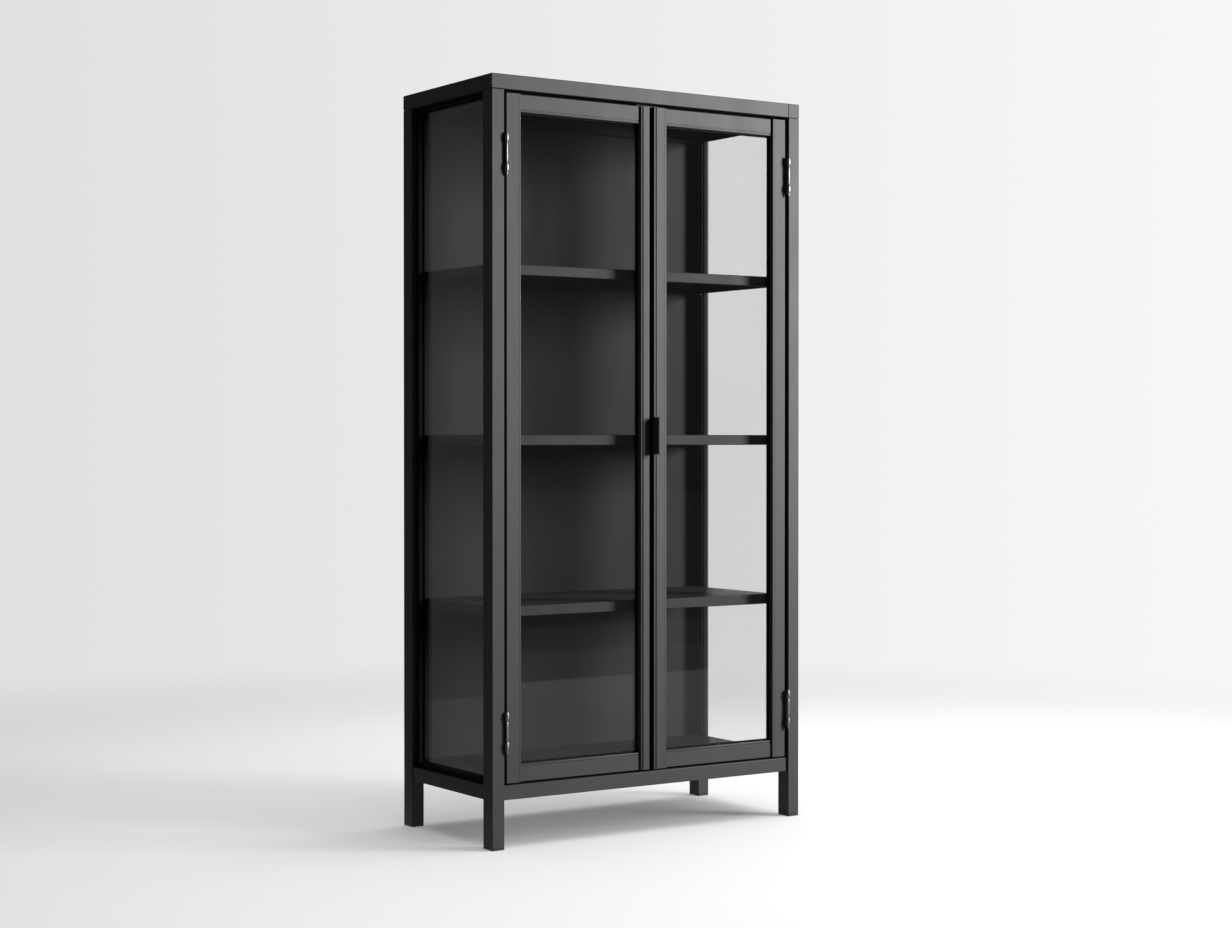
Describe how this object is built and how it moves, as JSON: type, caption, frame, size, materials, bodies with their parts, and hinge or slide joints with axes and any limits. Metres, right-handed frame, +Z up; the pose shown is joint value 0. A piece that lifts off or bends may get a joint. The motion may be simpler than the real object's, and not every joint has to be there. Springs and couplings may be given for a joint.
{
  "type": "glazed display cabinet",
  "caption": "Free-standing black steel display cabinet on four legs, glass sides, hinged glass doors with barrel hinges and an angle pull, folded steel shelves.",
  "frame": {"origin": "on the floor, under the centre of the object's bounding box, handle included", "axes": "+Z up, +X to the right seen from the front, +Y from the doors to the back"},
  "size_m": [0.9, 0.451, 1.8],
  "materials": {
    "frame_paint": "fine satin black powder coat on box section steel",
    "panel_paint": "satin black powder coat on folded sheet steel",
    "foot_plastic": "moulded black plastic",
    "seal_rubber": "extruded black rubber",
    "clear_glass": "clear 4 mm float glass",
    "hinge_steel": "satin steel",
    "handle_paint": "smooth black paint",
    "catch_plastic": "moulded black plastic",
    "catch_steel": "plated steel"
  },
  "bodies": {
    "carcass": {"post_front_left": "frame_paint", "foot_front_left": "foot_plastic", "shelf_standard_front_left": "panel_paint", "post_front_right": "frame_paint", "foot_front_right": "foot_plastic", "shelf_standard_front_right": "panel_paint", "post_rear_left": "frame_paint", "foot_rear_left": "foot_plastic", "shelf_standard_rear_left": "panel_paint", "post_rear_right": "frame_paint", "foot_rear_right": "foot_plastic", "shelf_standard_rear_right": "panel_paint", "top_rail_front": "frame_paint", "top_rail_right": "frame_paint", "top_rail_rear": "frame_paint", "top_rail_left": "frame_paint", "bottom_rail_front": "frame_paint", "bottom_rail_right": "frame_paint", "bottom_rail_rear": "frame_paint", "bottom_rail_left": "frame_paint", "top_panel": "panel_paint", "floor_panel": "panel_paint", "back_panel": "panel_paint", "shelf_upper": "panel_paint", "shelf_middle": "panel_paint", "shelf_lower": "panel_paint", "side_glass_left": "clear_glass", "side_seal_left": "seal_rubber", "side_glass_right": "clear_glass", "side_seal_right": "seal_rubber", "magnetic_catch": "catch_plastic", "hinge_frame_leaf_upper_left": "hinge_steel", "hinge_pin_upper_left": "hinge_steel", "hinge_frame_leaf_upper_right": "hinge_steel", "hinge_pin_upper_right": "hinge_steel", "hinge_frame_leaf_lower_left": "hinge_steel", "hinge_pin_lower_left": "hinge_steel", "hinge_frame_leaf_lower_right": "hinge_steel", "hinge_pin_lower_right": "hinge_steel"},
    "left_door": {"left_door_hinge_stile": "frame_paint", "left_door_meeting_stile": "frame_paint", "left_door_bottom_rail": "frame_paint", "left_door_top_rail": "frame_paint", "left_door_glass": "clear_glass", "left_door_seal": "seal_rubber", "left_door_strike": "catch_steel", "hinge_door_leaf_upper_left": "hinge_steel", "hinge_door_leaf_lower_left": "hinge_steel", "left_door_gap_seal": "seal_rubber"},
    "right_door": {"right_door_hinge_stile": "frame_paint", "right_door_meeting_stile": "frame_paint", "right_door_bottom_rail": "frame_paint", "right_door_top_rail": "frame_paint", "right_door_glass": "clear_glass", "right_door_seal": "seal_rubber", "right_door_strike": "catch_steel", "hinge_door_leaf_upper_right": "hinge_steel", "hinge_door_leaf_lower_right": "hinge_steel", "right_door_meeting_strip": "frame_paint", "right_door_handle": "handle_paint"}
  },
  "joints": [
    {"name": "left_door_hinge", "type": "hinge", "parent": "carcass", "child": "left_door", "pos_m": [-0.413, -0.209, 0.9465], "axis": [0, 0, -1], "range_deg": [0, 170]},
    {"name": "right_door_hinge", "type": "hinge", "parent": "carcass", "child": "right_door", "pos_m": [0.413, -0.209, 0.9465], "axis": [0, 0, 1], "range_deg": [0, 170]}
  ]
}
